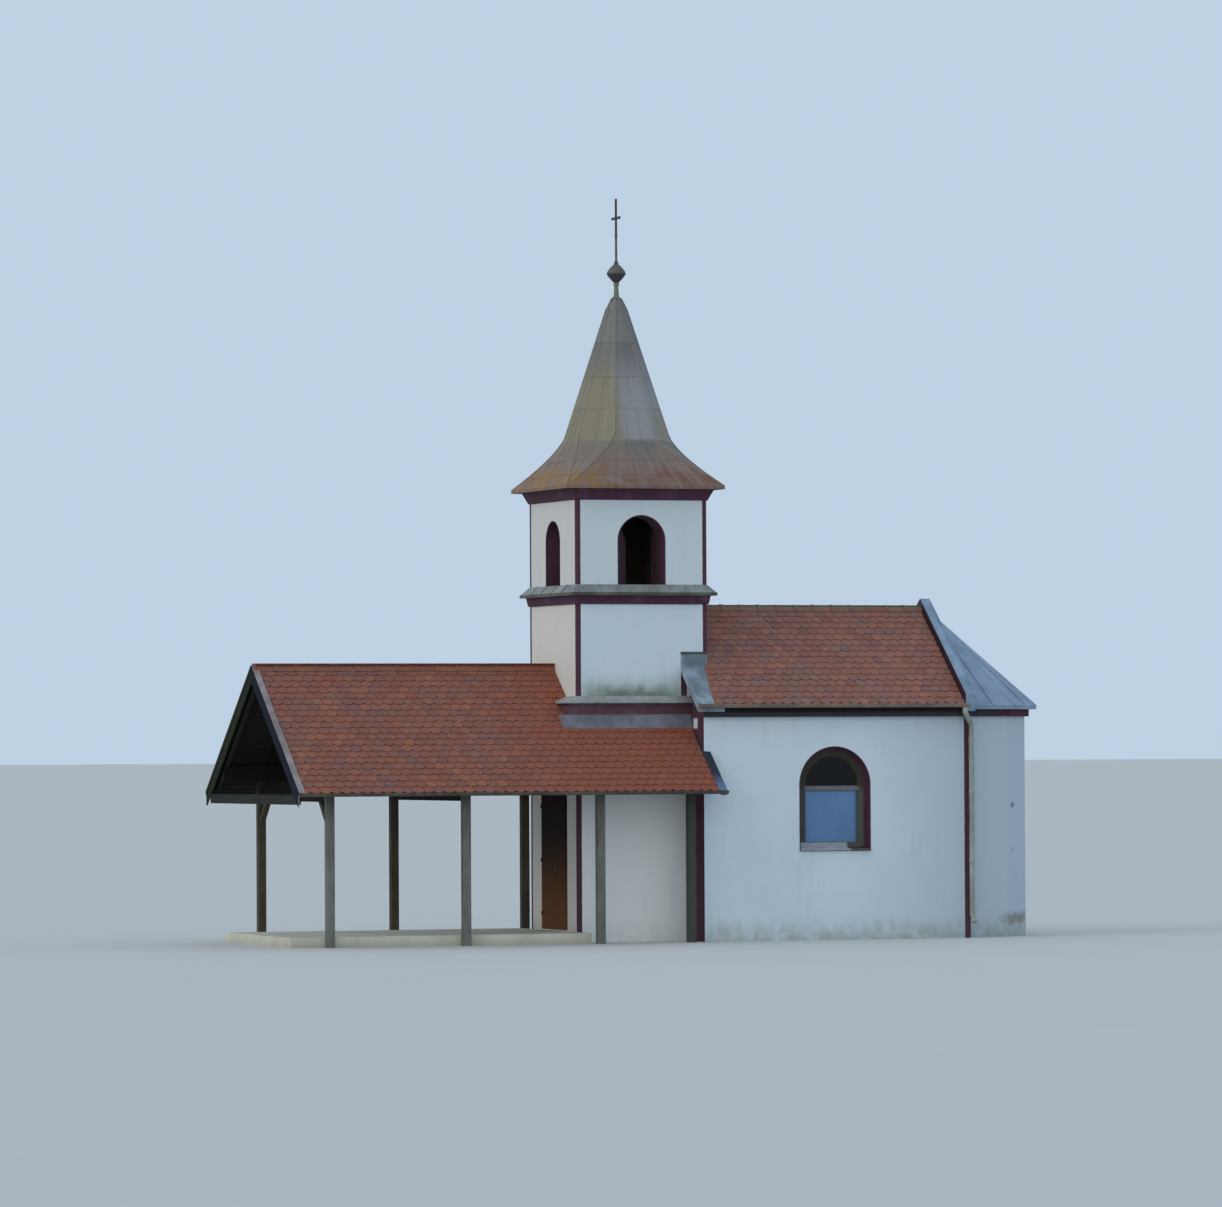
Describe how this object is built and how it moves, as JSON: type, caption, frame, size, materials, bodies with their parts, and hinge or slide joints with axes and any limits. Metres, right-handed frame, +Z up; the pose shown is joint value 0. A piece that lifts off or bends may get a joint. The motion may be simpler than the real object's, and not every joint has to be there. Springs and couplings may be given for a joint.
{
  "type": "small chapel",
  "caption": "Small white rendered chapel with a tiled timber porch, a square bell tower with a sheet-metal broach spire, a tiled nave and a polygonal apse.",
  "frame": {"origin": "middle of the base of the whole chapel's box, at the lowest ground that a wall or post reaches", "axes": "+X along the chapel from the porch to the apse, +Y across it to the north, +Z up"},
  "size_m": [14.48, 5.52, 12.94],
  "materials": {
    "white_render": "fine lime render, painted white, streaked with algae above the ledges",
    "burgundy_paint": "matt dark red masonry paint",
    "nave_tiles": "small weathered brown-red clay tiles",
    "porch_tiles": "small red clay tiles, newer than the nave's",
    "grey_sheet_metal": "grey painted sheet metal, rust-brown on the spire's skirt",
    "dark_timber": "dark stained square timber",
    "door_timber": "brown varnished boards, paler near the foot",
    "pale_window_paint": "pale grey painted wood",
    "window_glass": "clear window glass",
    "concrete_floor": "plain concrete"
  },
  "bodies": {
    "root": {"apse_eaves_band": "burgundy_paint", "apse_end_wall": "white_render", "apse_flank_walls": "white_render", "apse_roof": "grey_sheet_metal", "apse_shoulder_walls": "white_render", "belfry_east_wall": "white_render", "belfry_floor": "concrete_floor", "belfry_north_wall": "white_render", "belfry_south_wall": "white_render", "belfry_west_wall": "white_render", "door_frame": "door_timber", "inner_floor": "concrete_floor", "nave_downpipes": "grey_sheet_metal", "nave_east_verge": "grey_sheet_metal", "nave_east_wall": "white_render", "nave_eaves_bands": "burgundy_paint", "nave_gutters": "grey_sheet_metal", "nave_ridge_tiles": "nave_tiles", "nave_roof_north": "nave_tiles", "nave_roof_south": "nave_tiles", "nave_wall_north": "white_render", "nave_wall_south": "white_render", "nave_west_flashings": "grey_sheet_metal", "nave_west_walls": "white_render", "nave_window_frames": "burgundy_paint", "nave_window_panes": "window_glass", "nave_window_sashes": "pale_window_paint", "nave_window_sills": "grey_sheet_metal", "porch_braces": "dark_timber", "porch_floor": "concrete_floor", "porch_gutters": "grey_sheet_metal", "porch_posts_north": "dark_timber", "porch_posts_south": "dark_timber", "porch_rafters_north": "dark_timber", "porch_rafters_south": "dark_timber", "porch_ridge_beam": "dark_timber", "porch_ridge_tiles": "porch_tiles", "porch_roof_north": "porch_tiles", "porch_roof_south": "porch_tiles", "porch_side_roofs": "porch_tiles", "porch_trusses": "dark_timber", "porch_verges": "grey_sheet_metal", "porch_wall_plates": "dark_timber", "spire": "grey_sheet_metal", "spire_cross": "grey_sheet_metal", "spire_finial": "grey_sheet_metal", "tower_base_bands": "burgundy_paint", "tower_base_flashings": "grey_sheet_metal", "tower_east_wall_jambs": "white_render", "tower_east_wall_over_archway": "white_render", "tower_eaves_band": "burgundy_paint", "tower_mid_band": "burgundy_paint", "tower_mid_flashing": "grey_sheet_metal", "tower_north_wall": "white_render", "tower_south_wall": "white_render", "tower_west_wall_north": "white_render", "tower_west_wall_over_door": "white_render", "tower_west_wall_south": "white_render"},
    "door_leaf_south": {"door_leaf_south": "door_timber"},
    "door_leaf_north": {"door_leaf_north": "door_timber"}
  },
  "joints": [
    {"name": "door_south_hinge", "type": "hinge", "parent": "root", "child": "door_leaf_south", "pos_m": [-1.76, -0.605, 1.4], "axis": [0, 0, 1], "range_deg": [0, 100]},
    {"name": "door_north_hinge", "type": "hinge", "parent": "root", "child": "door_leaf_north", "pos_m": [-1.76, 0.605, 1.4], "axis": [0, 0, -1], "range_deg": [0, 100]}
  ]
}
